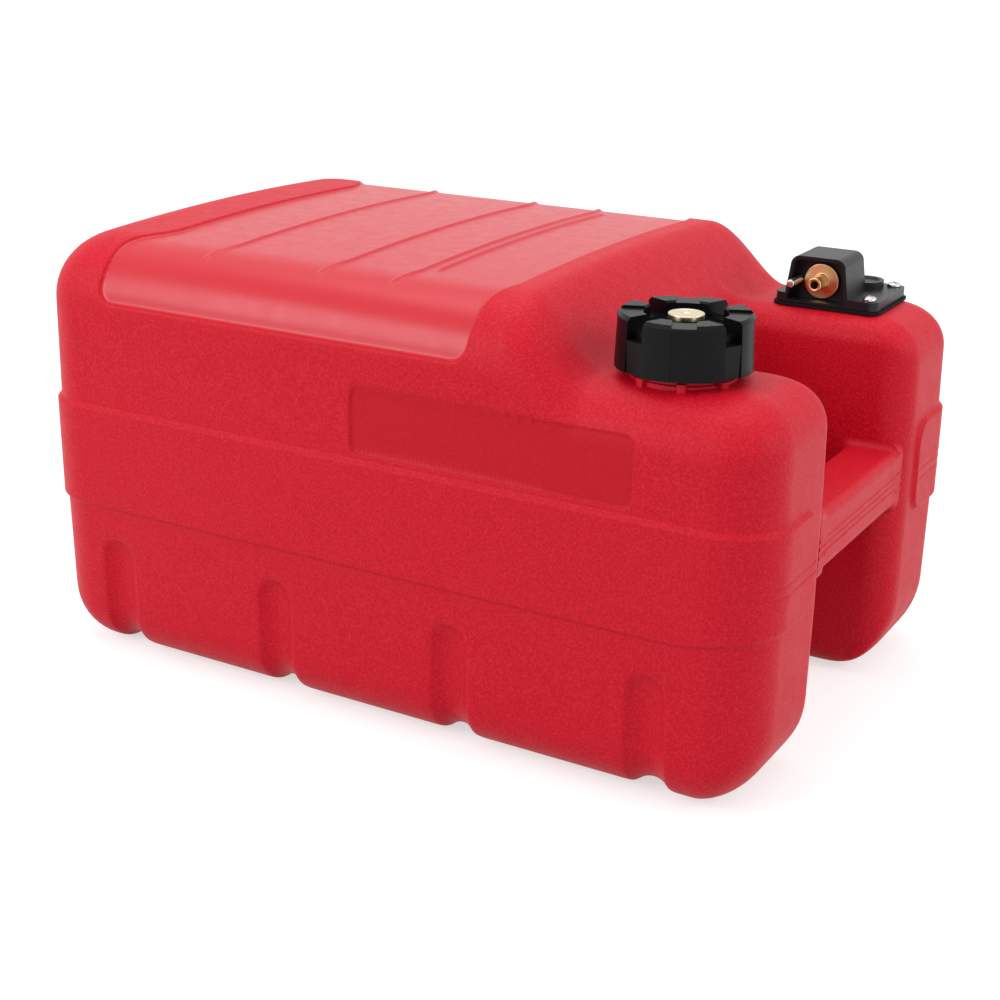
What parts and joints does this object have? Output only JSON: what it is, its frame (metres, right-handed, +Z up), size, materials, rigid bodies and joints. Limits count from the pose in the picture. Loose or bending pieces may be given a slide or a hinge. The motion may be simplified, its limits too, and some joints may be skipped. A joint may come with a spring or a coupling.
{
  "type": "outboard fuel tank",
  "caption": "Portable outboard fuel tank: hollow moulded shell with a handle bar across its notched end, a screw filler cap with a vent screw, and a hooded hose fitting with a pickup tube.",
  "frame": {"origin": "on the floor under the middle of the tank's length and width", "axes": "+Z up, +X along the length to the notched handle end, +Y across the width to the lobe that carries the hose fitting"},
  "size_m": [0.5, 0.32, 0.2715],
  "materials": {
    "red_polyethylene": "fine-textured moulded polyethylene, smooth on the top panel",
    "black_plastic": "satin moulded plastic",
    "black_rubber": "matt rubber",
    "brass": "turned and lightly polished",
    "plated_steel": "bright plated",
    "milky_tube": "extruded, slightly cloudy"
  },
  "bodies": {
    "tank": {"tank_shell": "red_polyethylene", "fitting_gasket": "black_rubber", "fitting_housing": "black_plastic", "outlet_nipple": "brass", "outlet_seal": "black_rubber", "locating_pin": "plated_steel", "pickup_tube": "milky_tube", "strainer_body": "black_plastic", "strainer_mesh": "plated_steel", "plate_screw_1": "plated_steel", "screw_insert_1": "brass", "plate_screw_2": "plated_steel", "screw_insert_2": "brass", "plate_screw_3": "plated_steel", "screw_insert_3": "brass"},
    "cap_seal": {"cap_gasket": "black_rubber"},
    "cap": {"filler_cap": "black_plastic", "vent_bush": "brass"},
    "vent_washer": {"vent_seal": "black_rubber"},
    "vent": {"vent_screw": "brass"}
  },
  "joints": [
    {"name": "cap_lift", "type": "slide", "parent": "tank", "child": "cap_seal", "axis": [0, 0, 1], "range_m": [0, 0.01]},
    {"name": "cap_turn", "type": "hinge", "parent": "cap_seal", "child": "cap", "pos_m": [0.1738, -0.1035, 0.2356], "axis": [0, 0, 1], "range_deg": [0, 720]},
    {"name": "vent_lift", "type": "slide", "parent": "cap", "child": "vent_washer", "axis": [0, 0, 1], "range_m": [0, 0.003]},
    {"name": "vent_turn", "type": "hinge", "parent": "vent_washer", "child": "vent", "pos_m": [0.1738, -0.1035, 0.2606], "axis": [0, 0, 1], "range_deg": [0, 1080]}
  ],
  "couplings": [
    {"joint": "cap_turn", "follows": "cap_lift", "rad_per_m": 1256.6},
    {"joint": "vent_turn", "follows": "vent_lift", "rad_per_m": 6283.2}
  ]
}
